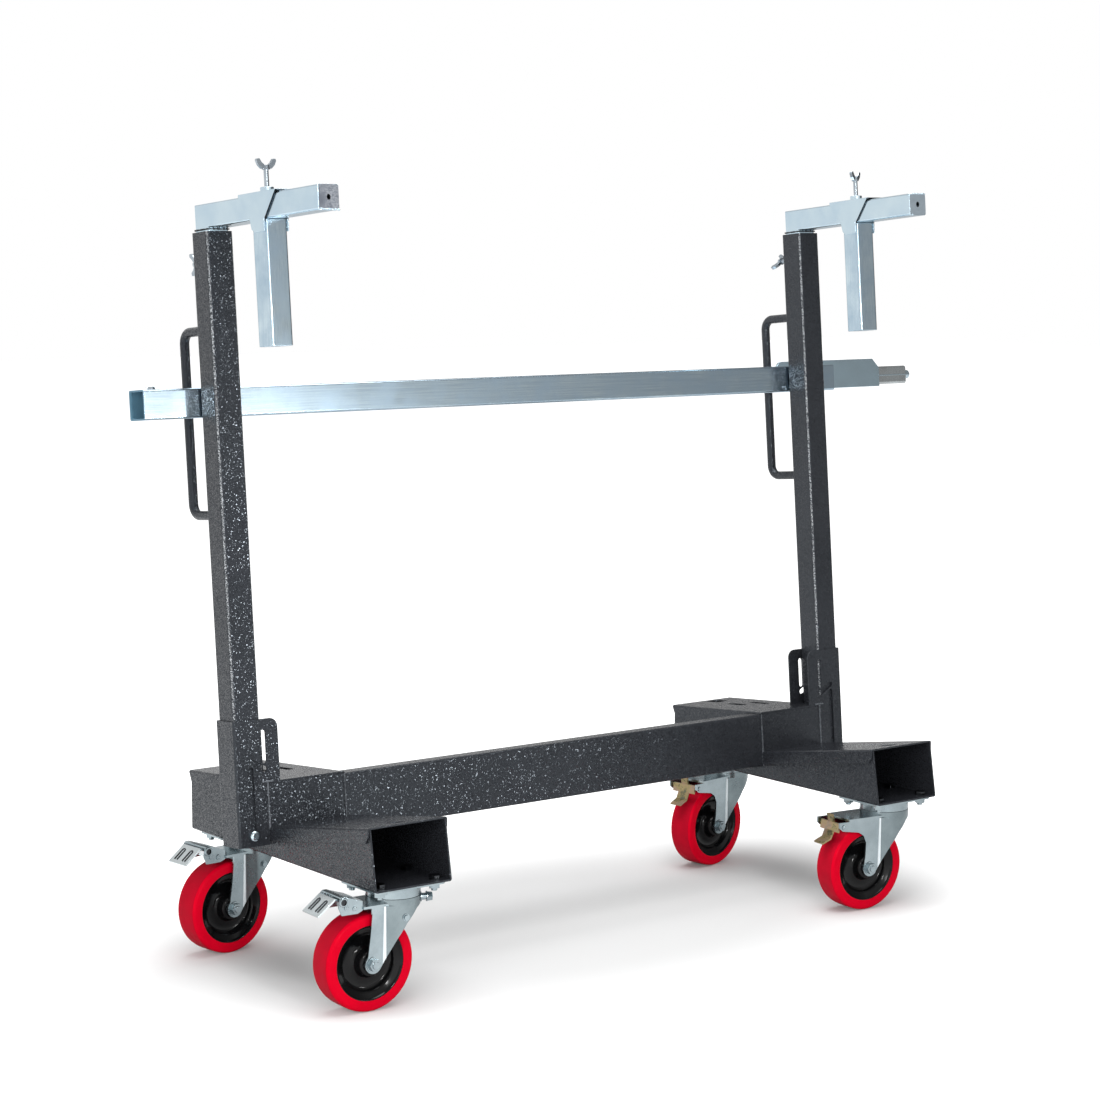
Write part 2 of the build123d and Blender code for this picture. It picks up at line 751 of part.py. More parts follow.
# Casters: top plates with king pins, mounting bolts, then the turning pieces of each
with BuildPart() as caster_plates:
    for name in caster_turn:
        foot_plane = Plane(caster_plan(name).origin)
        with BuildSketch(foot_plane.offset(-plate_thick)):
            RectangleRounded(plate_size[0], plate_size[1], 10)
            with GridLocations(hole_pitch[0], hole_pitch[1], 2, 2):
                Circle(hole_r, mode=Mode.SUBTRACT)
        extrude(amount=plate_thick)
        with BuildSketch(foot_plane.offset(-plate_thick)):
            Circle(ring_r)
        extrude(amount=ring_z + plate_thick)
        with BuildSketch(foot_plane.offset(ring_z)):
            Circle(race_r)
        extrude(amount=crown_z[1] + 0.3 - ring_z)
        with BuildSketch(foot_plane.offset(crown_z[0] - 6)):
            Circle(king_r)
        extrude(amount=6 - crown_z[0] - plate_thick)
        with BuildSketch(foot_plane.offset(crown_z[0] - 0.3)):
            Circle(15)
        extrude(amount=-5.7)
save(caster_plates, "caster_plates")

with BuildPart() as caster_bolts:
    for name in caster_turn:
        foot_plane = Plane(caster_plan(name).origin)
        for face, shape_r, amount in ((sheet, 9.6, 6.4), (-plate_thick, 9.6, -8.0)):
            with BuildSketch(foot_plane.offset(face)):
                with GridLocations(hole_pitch[0], hole_pitch[1], 2, 2):
                    RegularPolygon(shape_r, 6)
            extrude(amount=amount)
        with BuildSketch(foot_plane.offset(sheet)):
            with GridLocations(hole_pitch[0], hole_pitch[1], 2, 2):
                Circle(5.0)
        extrude(amount=-sheet - plate_thick - 12)
save(caster_bolts, "caster_bolts")

for name in caster_turn:
    save(fork(name), f"{name}_fork")
    save(axle(name), f"{name}_axle")
    save(tyre(name), f"{name}_tyre")
    save(core(name), f"{name}_wheel_core")
    save(bearing(name), f"{name}_bearing")
    if name.endswith("left"):
        save(brake_housing(name), f"{name}_brake_housing")
        save(brake_pedal(name), f"{name}_brake_pedal")
    else:
        save(lock_lever(name), f"{name}_lock_lever")
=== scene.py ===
import json
from math import cos, pi, radians, sin

import bmesh
import bpy
from mathutils import Matrix, Vector

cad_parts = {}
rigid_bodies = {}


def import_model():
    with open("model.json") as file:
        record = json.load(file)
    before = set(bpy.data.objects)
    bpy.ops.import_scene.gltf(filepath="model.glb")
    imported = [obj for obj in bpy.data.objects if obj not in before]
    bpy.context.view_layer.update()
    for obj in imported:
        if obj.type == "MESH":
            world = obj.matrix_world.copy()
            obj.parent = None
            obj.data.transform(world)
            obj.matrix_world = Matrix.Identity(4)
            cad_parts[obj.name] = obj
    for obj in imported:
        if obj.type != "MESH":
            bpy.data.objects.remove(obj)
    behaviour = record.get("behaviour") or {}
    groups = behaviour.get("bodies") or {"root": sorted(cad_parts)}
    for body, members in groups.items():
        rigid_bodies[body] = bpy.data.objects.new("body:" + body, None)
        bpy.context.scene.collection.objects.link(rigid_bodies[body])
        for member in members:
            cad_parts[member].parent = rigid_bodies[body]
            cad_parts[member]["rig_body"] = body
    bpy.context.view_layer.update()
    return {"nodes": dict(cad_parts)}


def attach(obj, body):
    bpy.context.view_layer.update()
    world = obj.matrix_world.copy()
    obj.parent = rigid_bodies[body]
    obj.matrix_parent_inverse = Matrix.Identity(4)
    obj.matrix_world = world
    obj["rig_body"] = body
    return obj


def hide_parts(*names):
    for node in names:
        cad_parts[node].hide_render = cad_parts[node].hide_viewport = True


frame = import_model()
scene = bpy.context.scene

# Feet
# Each foot is a channel folded from 3 mm sheet with a sloping load bed, a lidded rear box and a
# plate closing the box in front. All of it is welded up, then powder coated charcoal grey with a
# coarse sparkling texture. Part of the sparkle is painted glints, pale flecks in the coat's colour.
coat_dark = (0.0150, 0.0160, 0.0190, 1)
coat_pale = (0.0210, 0.0224, 0.0264, 1)
coat_painted_glint = (0.16, 0.18, 0.22, 1)
coat_sheen = (0.80, 0.90, 1.0, 1)
cloud_scale = 7
grain_scale = 800
grain_tilt = 0.46
grain_rough = (0.10, 0.18)
coat_gloss = 0.44
fold_ease = 0.0009
seam_gap = 2e-6
flat_turn = radians(0.4)


def add(tree, kind, values=(), **settings):
    """A node with its settings and its inputs, each of them a value or a socket to link."""
    node = tree.nodes.new(kind)
    for name, value in settings.items():
        setattr(node, name, value)
    for name, value in dict(values).items():
        if isinstance(value, bpy.types.NodeSocket):
            tree.links.new(value, node.inputs[name])
        else:
            node.inputs[name].default_value = value
    return node


def new_finish(name):
    """An empty material: its tree, its shader and the object coordinates to read."""
    finish = bpy.data.materials.new(name)
    finish.use_nodes = True
    tree = finish.node_tree
    space = add(tree, "ShaderNodeTexCoord").outputs["Object"]
    return finish, tree, tree.nodes["Principled BSDF"], space


def clouds(tree, space, scale, detail=2.0, rough=0.5, stretch=(1, 1, 1)):
    """Noise over the surface, stretched where a grain runs one way."""
    turn = add(tree, "ShaderNodeMapping", {"Vector": space, "Scale": stretch})
    sizes = {"Vector": turn.outputs["Vector"], "Scale": scale, "Detail": detail, "Roughness": rough}
    return add(tree, "ShaderNodeTexNoise", sizes).outputs["Fac"]


def ramp(tree, value, *stops):
    """Colours at places along a value, blended between."""
    node = add(tree, "ShaderNodeValToRGB", {"Fac": value})
    for index, (place, colour) in enumerate(stops):
        stop = node.color_ramp.elements[index] if index < 2 else node.color_ramp.elements.new(place)
        stop.position = place
        stop.color = colour
    return node.outputs["Color"]


def span(tree, value, low, high, start, end, course="LINEAR"):
    """A value mapped from one span to another and held at its ends."""
    ends = {"Value": value, "From Min": low, "From Max": high, "To Min": start, "To Max": end}
    return add(tree, "ShaderNodeMapRange", ends, interpolation_type=course).outputs["Result"]


def blend_colour(tree, share, first, second):
    """Two colours mixed by a share."""
    node = add(tree, "ShaderNodeMix", data_type="RGBA")
    for name, value in (("A_Color", first), ("B_Color", second), ("Factor_Float", share)):
        socket = next(s for s in node.inputs if s.identifier == name)
        if isinstance(value, bpy.types.NodeSocket):
            tree.links.new(value, socket)
        else:
            socket.default_value = value
    return next(s for s in node.outputs if s.identifier == "Result_Color")


def relief(tree, shader, height, strength, depth):
    """Bump on the shader from a height value."""
    node = add(tree, "ShaderNodeBump", {"Height": height, "Strength": strength, "Distance": depth})
    tree.links.new(node.outputs["Normal"], shader.inputs["Normal"])


def product(tree, first, second):
    """Two values multiplied."""
    node = add(tree, "ShaderNodeMath", operation="MULTIPLY")
    tree.links.new(first, node.inputs[0])
    tree.links.new(second, node.inputs[1])
    return node.outputs["Value"]


def vectors(tree, operation, first, second):
    """Two vectors worked together, the second of them a vector or a socket."""
    node = add(tree, "ShaderNodeVectorMath", operation=operation)
    tree.links.new(first, node.inputs[0])
    if isinstance(second, bpy.types.NodeSocket):
        tree.links.new(second, node.inputs[1])
    else:
        node.inputs[1].default_value = second
    return node.outputs["Vector"]


def powder_coat(name, dark, pale, tilt, glint_paint=coat_painted_glint, first=0.85, strength=0.35, reach=0.45):
    """Textured powder coat: glossy dark grains, each a small facet tilted its own way. Grains from a
    first one on, between 0 and 1, are painted glints: flecks of a strength that fade out at their
    reach."""
    finish, tree, shader, space = new_finish(name)
    grain = add(tree, "ShaderNodeTexVoronoi", {"Vector": space, "Scale": grain_scale})
    pick = add(tree, "ShaderNodeSeparateColor", {"Color": grain.outputs["Color"]}).outputs["Red"]
    ground = ramp(tree, clouds(tree, space, cloud_scale, 3.0), (0.3, dark), (0.7, pale))
    dot = span(tree, grain.outputs["Distance"], 0.15, reach, 1.0, 0.0)
    # Painted glints: pale dots mixed into the colour.
    painted_glints = product(tree, dot, span(tree, pick, first, 1.0, 0.0, strength))
    tree.links.new(blend_colour(tree, painted_glints, ground, glint_paint), shader.inputs["Base Color"])
    tree.links.new(span(tree, pick, 0.0, 1.0, *grain_rough), shader.inputs["Roughness"])
    shader.inputs["Specular IOR Level"].default_value = coat_gloss
    shader.inputs["Specular Tint"].default_value = coat_sheen
    leaning = vectors(tree, "SUBTRACT", grain.outputs["Color"], (0.5, 0.5, 0.5))
    leaning = vectors(tree, "MULTIPLY", leaning, (tilt, tilt, tilt))
    facing = add(tree, "ShaderNodeNewGeometry").outputs["Normal"]
    facet = vectors(tree, "ADD", leaning, facing)
    level = add(tree, "ShaderNodeVectorMath", operation="NORMALIZE")
    tree.links.new(facet, level.inputs[0])
    tree.links.new(level.outputs["Vector"], shader.inputs["Normal"])
    return finish


def plain_mesh(piece):
    """The piece's modifiers worked into its mesh."""
    graph = bpy.context.evaluated_depsgraph_get()
    shaped = piece.evaluated_get(graph)
    mesh = bpy.data.meshes.new_from_object(shaped, preserve_all_data_layers=True, depsgraph=graph)
    piece.modifiers.clear()
    piece.data = mesh
    return piece


def settle(piece, finish, body, slot, *nodes):
    """Give a piece its finish and its body and hide the CAD nodes that it stands for; its slot is not
    used.
    """
    piece.data.materials.clear()
    piece.data.materials.append(finish)
    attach(piece, body)
    if nodes:
        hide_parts(*nodes)
    return piece


def placed(name, mesh):
    """A new object with a mesh, in the scene."""
    piece = bpy.data.objects.new(name, mesh)
    scene.collection.objects.link(piece)
    return piece


def dressed_copy(node, finish, slot, ease=fold_ease, steps=2, sharp=32, bend=None):
    """A CAD node's mesh with its seams merged and its edges eased, standing for that node."""
    shell = bmesh.new()
    shell.from_mesh(frame["nodes"][node].data)
    bmesh.ops.remove_doubles(shell, verts=shell.verts, dist=seam_gap)
    bmesh.ops.dissolve_limit(shell, angle_limit=flat_turn, verts=shell.verts, edges=shell.edges)
    if bend:
        radius, chosen = bend
        folds = [edge for edge in shell.edges if chosen(edge)]
        bmesh.ops.bevel(shell, geom=folds, offset=radius, segments=5, profile=0.5, affect="EDGES")
    mesh = bpy.data.meshes.new(node + "_finished")
    shell.to_mesh(mesh)
    shell.free()
    mesh.shade_smooth()
    piece = placed(node + "_finished", mesh)
    edge = piece.modifiers.new("eased edges", "BEVEL")
    edge.width = ease
    edge.segments = steps
    edge.limit_method = "ANGLE"
    edge.angle_limit = radians(sharp)
    even = piece.modifiers.new("even faces", "WEIGHTED_NORMAL")
    even.keep_sharp = True
    plain_mesh(piece)
    return settle(piece, finish, frame["nodes"][node]["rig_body"], slot, node)


coat = powder_coat("charcoal_coat", coat_dark, coat_pale, grain_tilt)
sides = {"left": -1, "right": 1}
for hand in sides:
    for name in ("foot_tray", "load_bed", "rear_lid", "box_front", "mast_socket"):
        dressed_copy(f"{hand}_{name}", coat, "powder_coat")

# Cross beam
# A 100 by 40 mm rectangular tube that leans back with the masts. It is welded between the two feet
# and coated with them.
dressed_copy("cross_beam", coat, "powder_coat")

# Welds of the base
# Beads laid by hand where the beam meets the feet and where the sockets meet the boxes. They are
# uneven, and their coat is painted paler to stand for the glints that the beads catch.
mid_x, post_y, deck_z = -0.116, 0.04665, 0.2025
lean = radians(5)
bead_pitch, bead_size = 0.0026, 0.0019
beam_end_x, beam_weld_s = 0.4712, (0.024, 0.119)
box_side_x, box_weld_s = 0.6215, (0.046, 0.122)
front_weld_d = -0.0288
tab_weld_x, tab_weld_s = (0.612, 0.630), 0.1255
tab_weld_d = (-0.0285, 0.0285)
weld_tilt = 0.2
weld_glint_dark = (0.040, 0.043, 0.048, 1)
weld_glint_pale = (0.13, 0.14, 0.155, 1)


def lean_frame(x, turn=0.0):
    """Frame at deck height under a mast: across, backwards and up its leaning axis, turned about it."""
    tilt = Matrix.Rotation(-lean, 4, "X") @ Matrix.Rotation(turn, 4, "Z")
    return Matrix.Translation((mid_x + x, post_y, deck_z)) @ tilt


def new_tree(name, inputs):
    """A geometry node tree with named inputs: the tree, its start and its end."""
    tree = bpy.data.node_groups.new(name, "GeometryNodeTree")
    tree.interface.new_socket("Geometry", in_out="INPUT", socket_type="NodeSocketGeometry")
    for label, kind in inputs:
        tree.interface.new_socket(label, in_out="INPUT", socket_type="NodeSocket" + kind)
    tree.interface.new_socket("Geometry", in_out="OUTPUT", socket_type="NodeSocketGeometry")
    return tree, add(tree, "NodeGroupInput"), add(tree, "NodeGroupOutput")


def close_tree(tree, end, geometry, finish):
    """Make the instances real, give them their finish and end the tree."""
    real = add(tree, "GeometryNodeRealizeInstances", {"Geometry": geometry})
    look = {"Geometry": real.outputs["Geometry"], "Material": finish}
    dressed = add(tree, "GeometryNodeSetMaterial", look)
    tree.links.new(dressed.outputs["Geometry"], end.inputs["Geometry"])
    return tree


def grown(name, mesh, tree, sizes):
    """The plain piece that a geometry node tree makes from a seed mesh."""
    piece = placed(name, mesh)
    grower = piece.modifiers.new(tree.name, "NODES")
    grower.node_group = tree
    for item in tree.interface.items_tree:
        if item.in_out == "INPUT" and item.name in sizes:
            grower[item.identifier] = sizes[item.name]
    return plain_mesh(piece)


def weld_tree():
    """Uneven drops strung along the edges of a seed mesh."""
    inputs = (("Pitch", "Float"), ("Bead", "Float"), ("Seed", "Int"), ("Finish", "Material"))
    tree, start, end = new_tree("weld_bead", inputs)
    path = add(tree, "GeometryNodeMeshToCurve", {"Mesh": start.outputs["Geometry"]})
    steps = {"Curve": path.outputs["Curve"], "Length": start.outputs["Pitch"]}
    drops = add(tree, "GeometryNodeResampleCurve", steps, mode="LENGTH")
    drop = add(tree, "GeometryNodeMeshIcoSphere", {"Radius": start.outputs["Bead"], "Subdivisions": 2})
    limits = {"Min": (0.65, 0.65, 0.65), "Max": (1.3, 1.3, 1.3), "Seed": start.outputs["Seed"]}
    uneven = add(tree, "FunctionNodeRandomValue", limits, data_type="FLOAT_VECTOR")
    strung = {"Points": drops.outputs["Curve"], "Instance": drop.outputs["Mesh"],
              "Scale": uneven.outputs[0]}
    run = add(tree, "GeometryNodeInstanceOnPoints", strung)
    return close_tree(tree, end, run.outputs["Instances"], start.outputs["Finish"])


def lines_mesh(name, runs):
    """A mesh of edges along runs of points."""
    mesh = bpy.data.meshes.new(name)
    points = [point for run in runs for point in run]
    edges = []
    first = 0
    for run in runs:
        edges += [(first + step, first + step + 1) for step in range(len(run) - 1)]
        first += len(run)
    mesh.from_pydata(points, edges, [])
    return mesh


def weld(name, runs, finish, body, slot, seed, pitch=bead_pitch, bead=bead_size):
    """Weld beads along runs of points."""
    sizes = {"Pitch": pitch, "Bead": bead, "Seed": seed, "Finish": finish}
    piece = grown(name, lines_mesh(name, runs), weld_beads, sizes)
    piece.data.shade_smooth()
    return settle(piece, finish, body, slot)


weld_beads = weld_tree()
# Painted highlight: the welds' coat is paler than the rest for the glints on the beads.
weld_glint_coat = powder_coat("weld_glint_coat", weld_glint_dark, weld_glint_pale, weld_tilt)
middle = lean_frame(0)
base_runs = []
for side in sides.values():
    for across, heights in ((beam_end_x, beam_weld_s), (box_side_x, box_weld_s)):
        base_runs.append([middle @ Vector((side * across, front_weld_d, s)) for s in heights])
    for back in tab_weld_d:
        base_runs.append([middle @ Vector((side * x, back, tab_weld_s)) for x in tab_weld_x])
weld("base_welds", base_runs, weld_glint_coat, "base", "powder_coat", 3)

# Masts and handles
# 50 mm square tubes that stand in the sockets, each with a bent rod welded to its back and a nut
# for the arm's screw. Pale flecks painted on the coat along the front corners stand for the glints
# of the highlight on those corners.
mast_x, mast_back = 0.6525, 0.0256
handle_weld_s, handle_weld_r = (0.569, 0.876), 0.0086
nut_weld_s, nut_weld_r = 0.987, 0.0112
mast_bead = (0.0022, 0.0016)
corner_start = 0.0218
corner_painted_glint = (0.90, 0.93, 0.96, 1)


def second_finish(piece, finish, chosen):
    """Another finish on the faces that a test picks."""
    piece.data.materials.append(finish)
    for face in piece.data.polygons:
        if chosen(face):
            face.material_index = len(piece.data.materials) - 1


def ring(place, radius, steps=16):
    """Points of a closed circle around the y axis of a frame."""
    turns = [2 * pi * step / steps for step in range(steps + 1)]
    return [place @ Vector((radius * cos(turn), 0, radius * sin(turn))) for turn in turns]


# Painted highlight: large pale flecks on the masts' front corners for the glints there.
corner_glint_coat = powder_coat("corner_glint_coat", coat_dark, coat_pale, grain_tilt, corner_painted_glint,
                          first=0.25, strength=1.0, reach=0.85)
for hand, side in sides.items():
    mast = dressed_copy(f"{hand}_mast", coat, "powder_coat")
    dressed_copy(f"{hand}_handle", coat, "powder_coat")
    upright = lean_frame(side * mast_x)
    levelled = upright.inverted()
    second_finish(mast, corner_glint_coat, lambda face: abs((levelled @ face.center).x) > corner_start
                  and (levelled @ face.center).y < -corner_start)
    spots = [(s, handle_weld_r) for s in handle_weld_s] + [(nut_weld_s, nut_weld_r)]
    rings = [ring(upright @ Matrix.Translation((0, mast_back, s)), radius) for s, radius in spots]
    weld(f"{hand}_mast_welds", rings, coat, f"{hand}_mast", "powder_coat", 5, *mast_bead)

# Zinc-plated arms and clamps
# Square tubes bent to an inverted L slide in the masts; folded saddles with a hanging leg slide on
# them. All are bright zinc plated, bluish and slightly cloudy. A dark finish paints shade on the
# saddles' cut edges, in the holes of the arm ends and in the gap where each arm enters its mast.
# Plates that were ground off after welding close the front ends of the arms.
zinc_pale = (0.67, 0.80, 0.865, 1)
zinc_grey = (0.56, 0.70, 0.80, 1)
drawn_grey = (0.44, 0.57, 0.68, 1)
screw_pale = (0.62, 0.69, 0.73, 1)
screw_grey = (0.34, 0.39, 0.44, 1)
shade_finish_pale = (0.070, 0.075, 0.080, 1)
shade_finish_dark = (0.030, 0.032, 0.036, 1)
ground_pale = {"left": (0.88, 0.92, 0.98, 1), "right": (0.66, 0.76, 0.84, 1)}
ground_dark = {"left": (0.20, 0.22, 0.26, 1), "right": (0.46, 0.54, 0.60, 1)}
end_hole = {"left": (0.0036, 0.0044), "right": (0.0036, 0.0050)}
arm_toe = radians(2.5)
arm_reach, arm_low, arm_half = 0.336, 1.041, 0.020
arm_ease, leg_ease, screw_ease, zinc_ease = 0.0016, 0.0012, 0.0013, 0.0007
saddle_edge_s = 1.083
hole_reach, hole_back = 0.0052, -0.0009
rim_corners = {"left": ((-0.0192, 0.0185), (-0.0196, -0.0190), (0.0190, -0.0194)),
               "right": ((0.0188, 0.0190), (-0.0190, 0.0190), (-0.0192, -0.0188), (-0.0120, -0.0192))}
rim_bead = {"left": (0.0022, 0.0019), "right": (0.0010, 0.0014)}
rim_d = -0.0002
collar_half, collar_s, collar_bead = 0.0205, 1.0392, (0.0022, 0.0014)
collar_corners = ((-1, -1), (1, -1), (1, 1), (-1, 1), (-1, -1))
leg_weld_x, leg_weld_d, leg_weld_s = (-0.0226, 0.0226), -0.1888, (1.0225, 1.0400)
leg_bead = (0.0024, 0.0017)


def zinc_plate(name, pale, grey, smooth=0.15, coarse=0.25, fine_scale=240, stain=0.15,
               grain=(1, 1, 1), metal=1.0):
    """Bright zinc: cloudy metal with faint stains."""
    finish, tree, shader, space = new_finish(name)
    cloud = clouds(tree, space, 16, 4.0, 0.6)
    fine = clouds(tree, space, fine_scale, 2.0, 0.6, grain)
    ground = ramp(tree, cloud, (0.32, grey), (0.68, pale))
    shade = span(tree, fine, 0.35, 0.65, stain, 0.0)
    tree.links.new(blend_colour(tree, shade, ground, grey), shader.inputs["Base Color"])
    tree.links.new(span(tree, cloud, 0.3, 0.7, coarse, smooth), shader.inputs["Roughness"])
    shader.inputs["Metallic"].default_value = metal
    relief(tree, shader, cloud, 0.10, 0.0010)
    return finish


def end_plate(name, place, hole):
    """A thin plate with rounded corners and an oval hole, facing the frame's front."""
    half, corner, thick, steps = 0.0192, 7.0, 0.0010, 48
    bore, lip = (0.0029, 0.0029), 0.0002
    rims = ((None, 0), (None, -thick), (hole, -thick), (hole, -lip), (bore, -lip), (bore, 0))
    shell = bmesh.new()
    loops = []
    for oval, depth in rims:
        loop = []
        for step in range(steps):
            c, s = cos(2 * pi * step / steps), sin(2 * pi * step / steps)
            size = half / (abs(c) ** corner + abs(s) ** corner) ** (1 / corner)
            spot = (oval[0] * c, depth, oval[1] * s) if oval else (size * c, depth, size * s)
            loop.append(shell.verts.new(place @ Vector(spot)))
        loops.append(loop)
    for first, second in zip(loops, loops[1:] + loops[:1]):
        for step in range(steps):
            after = (step + 1) % steps
            shell.faces.new((first[step], first[after], second[after], second[step]))
    bmesh.ops.recalc_face_normals(shell, faces=shell.faces)
    mesh = bpy.data.meshes.new(name)
    shell.to_mesh(mesh)
    shell.free()
    return placed(name, mesh)


zinc = zinc_plate("bright_zinc", zinc_pale, zinc_grey)
drawn_zinc = zinc_plate("drawn_zinc", zinc_pale, drawn_grey, fine_scale=420, stain=0.35,
                        grain=(1, 1, 0.03))
screw_zinc = zinc_plate("screw_zinc", screw_pale, screw_grey, 0.2, 0.3, fine_scale=120, stain=0.4)
# A dark finish for painted shade on edges, holes, gaps and grooves; it also darkens the axle spacers
# and the bolt heads inside the feet.
dark_and_painted_shade = zinc_plate("dark_and_painted_shade", shade_finish_pale, shade_finish_dark)
for hand, side in sides.items():
    upright = lean_frame(side * mast_x, -side * arm_toe)
    dressed_copy(f"{hand}_arm", zinc, "zinc", arm_ease, steps=3)
    dressed_copy(f"{hand}_clamp_leg", drawn_zinc, "zinc", leg_ease, steps=3)
    saddle = dressed_copy(f"{hand}_clamp_saddle", zinc, "zinc", zinc_ease)
    levelled = upright.inverted()
    # Painted shade on the saddle's cut edges that face forward.
    second_finish(saddle, dark_and_painted_shade, lambda face: face.normal.y < -0.5
                  and (levelled @ face.center).z < saddle_edge_s)
    for name in ("mast_screw", "clamp_screw"):
        dressed_copy(f"{hand}_{name}", screw_zinc, "zinc", screw_ease, steps=3)
    dressed_copy(f"{hand}_slot_bolt", zinc, "bright_steel", zinc_ease)

    front = upright @ Matrix.Translation((0, -arm_reach, arm_low + arm_half))
    ground = zinc_plate(f"{hand}_ground_end", ground_pale[hand], ground_dark[hand], 0.4, 0.5,
                        fine_scale=520, stain=1.0)
    plate = settle(end_plate(f"{hand}_arm_end", front, end_hole[hand]), ground, f"{hand}_arm", "zinc")
    inwards = front.inverted()
    # Painted shade in the hole of the end plate.
    second_finish(plate, dark_and_painted_shade, lambda face: (inwards @ face.center).xz.length < hole_reach
                  and (inwards @ face.center).y > hole_back)
    rim = [[front @ Vector((x, rim_d, z)) for x, z in rim_corners[hand]]]
    weld(f"{hand}_arm_rim", rim, zinc, f"{hand}_arm", "zinc", 7, *rim_bead[hand])
    corners = [Vector((x * collar_half, y * collar_half, collar_s)) for x, y in collar_corners]
    collar = [[upright @ corner for corner in corners]]
    # Painted shade: a ring of dark beads where the arm enters the mast.
    weld(f"{hand}_arm_collar", collar, dark_and_painted_shade, f"{hand}_arm", "zinc", 9, *collar_bead)
    tabs = [[upright @ Vector((x, leg_weld_d, s)) for s in leg_weld_s] for x in leg_weld_x]
    weld(f"{hand}_clamp_welds", tabs, zinc, f"{hand}_clamp", "zinc", 11, *leg_bead)

# Stored bar
# A 50 mm square tube kept behind the masts, with the hitch plate welded to its right end. The lug on
# the plate is a dull steel block with a bright rod let into its front.
blue_pale = (0.68, 0.86, 0.96, 1)
blue_grey = (0.60, 0.78, 0.88, 1)
inside_shade_pale = (0.12, 0.25, 0.34, 1)
inside_shade_grey = (0.09, 0.20, 0.28, 1)
bar_s, bar_back, bar_inner = 0.757, 0.051, 0.0232
lug_pale = (0.74, 0.80, 0.82, 1)
lug_grey = (0.40, 0.41, 0.41, 1)
rod_back, rod_s = 0.0905, 0.758
rod_outline = ((2, 897), (8.6, 897), (8.6, 1013), (7.4, 1014.6), (2, 1014.6))


def lathe(name, outlines, place, steps=88, sharp=36):
    """Closed rings turned about the y axis of a frame, each from its (radius, along) outline in mm."""
    shell = bmesh.new()
    for outline in outlines:
        loops = []
        for step in range(steps):
            c, s = cos(2 * pi * step / steps), sin(2 * pi * step / steps)
            spots = [Vector((r * c / 1000, along / 1000, r * s / 1000)) for r, along in outline]
            loops.append([shell.verts.new(place @ spot) for spot in spots])
        for step in range(steps):
            first, second = loops[step], loops[(step + 1) % steps]
            for spot in range(len(outline)):
                after = (spot + 1) % len(outline)
                shell.faces.new((first[spot], first[after], second[after], second[spot]))
    bmesh.ops.recalc_face_normals(shell, faces=shell.faces)
    mesh = bpy.data.meshes.new(name)
    shell.to_mesh(mesh)
    shell.free()
    mesh.shade_smooth()
    mesh.set_sharp_from_angle(angle=radians(sharp))
    return placed(name, mesh)


blue_zinc = zinc_plate("blue_zinc", blue_pale, blue_grey)
bar_zinc = zinc_plate("bar_zinc", zinc_pale, drawn_grey, fine_scale=420, stain=0.7, grain=(0.02, 1, 1))
lug_steel = zinc_plate("lug_steel", lug_pale, lug_grey, 0.2, 0.35)
for name, finish in (("hitch_plate", blue_zinc), ("hitch_pin", lug_steel)):
    dressed_copy(name, finish, "zinc", zinc_ease)
tube = dressed_copy("bar_tube", bar_zinc, "zinc", zinc_ease)
# Painted shade: the inside of the tube gets a dark, unmetallic finish for the shade in its hollow.
tube_shade = zinc_plate("bar_inside_shade", inside_shade_pale, inside_shade_grey, 0.4, 0.5, metal=0.0)
levelled = (middle @ Matrix.Translation((0, bar_back, bar_s))).inverted()
second_finish(tube, tube_shade, lambda face: max(abs(v) for v in (levelled @ face.center).yz) < bar_inner)
dressed_copy("bar_screw", screw_zinc, "zinc", zinc_ease, steps=3)
rod_place = middle @ Matrix.Translation((0, rod_back, rod_s)) @ Matrix.Rotation(-pi / 2, 4, "Z")
settle(lathe("hitch_rod", [rod_outline], rod_place, steps=40), zinc, "bar", "zinc")

# Caster top plates
# Pressed steel plates, zinc plated, each fixed under its foot with four bolts and nuts. The heads
# inside the feet get the dark finish.
caster_pale = (0.43, 0.50, 0.525, 1)
caster_grey = (0.30, 0.36, 0.385, 1)
caster_zinc = zinc_plate("caster_zinc", caster_pale, caster_grey, 0.16, 0.30)
dressed_copy("caster_plates", caster_zinc, "zinc", zinc_ease)
bolts = dressed_copy("caster_bolts", caster_zinc, "bright_steel", zinc_ease)
second_finish(bolts, dark_and_painted_shade, lambda face: face.center.z > deck_z)

# Caster forks and axles
# Pressed from thick sheet, with a round crown, a fold down each leg and a web that narrows to the
# axle. The fold is painted pale as its highlight and the web darker as its shade. Left forks carry
# a small screw in the web and a bolt standing out of the crown.
caster_y = {"front": -0.230, "rear": 0.217}
caster_turn = {"front_left": -3.0, "rear_left": 5.5, "front_right": -6.0, "rear_right": 9.0}
caster_x, trail, wheel_z = 0.546, 0.057, -0.1225
fold_x, fold_y, fold_r = -0.037, 0.0340, 0.0030
fork_ease = 0.0012
fold_highlight_pale = (0.86, 0.92, 0.94, 1)
fold_highlight_grey = (0.78, 0.85, 0.88, 1)
web_shade_pale = (0.30, 0.355, 0.37, 1)
web_shade_grey = (0.20, 0.245, 0.26, 1)
washer_outline = ((6.5, 34.4), (12.6, 34.4), (12.6, 36.0), (6.5, 36.0))
spacer_start, spacer_end = 0.0283, 0.0312
web_seat, web_slope = (-3, 44.9, -51), -0.07
crown_turn, crown_z = radians(-20), -29.2
neck_reach, bolt_reach = 44.5, 54


def caster_frame(name):
    """Frame on a caster's swivel axis at the foot's underside: along the fork, across it and up."""
    end, hand = name.split("_")
    place = (mid_x + sides[hand] * caster_x, caster_y[end], deck_z)
    return Matrix.Translation(place) @ Matrix.Rotation(radians(caster_turn[name]), 4, "Z")


def hub_frame(name):
    """Frame in the middle of a caster's wheel, along its axle."""
    return caster_frame(name) @ Matrix.Translation((-trail, 0, wheel_z))


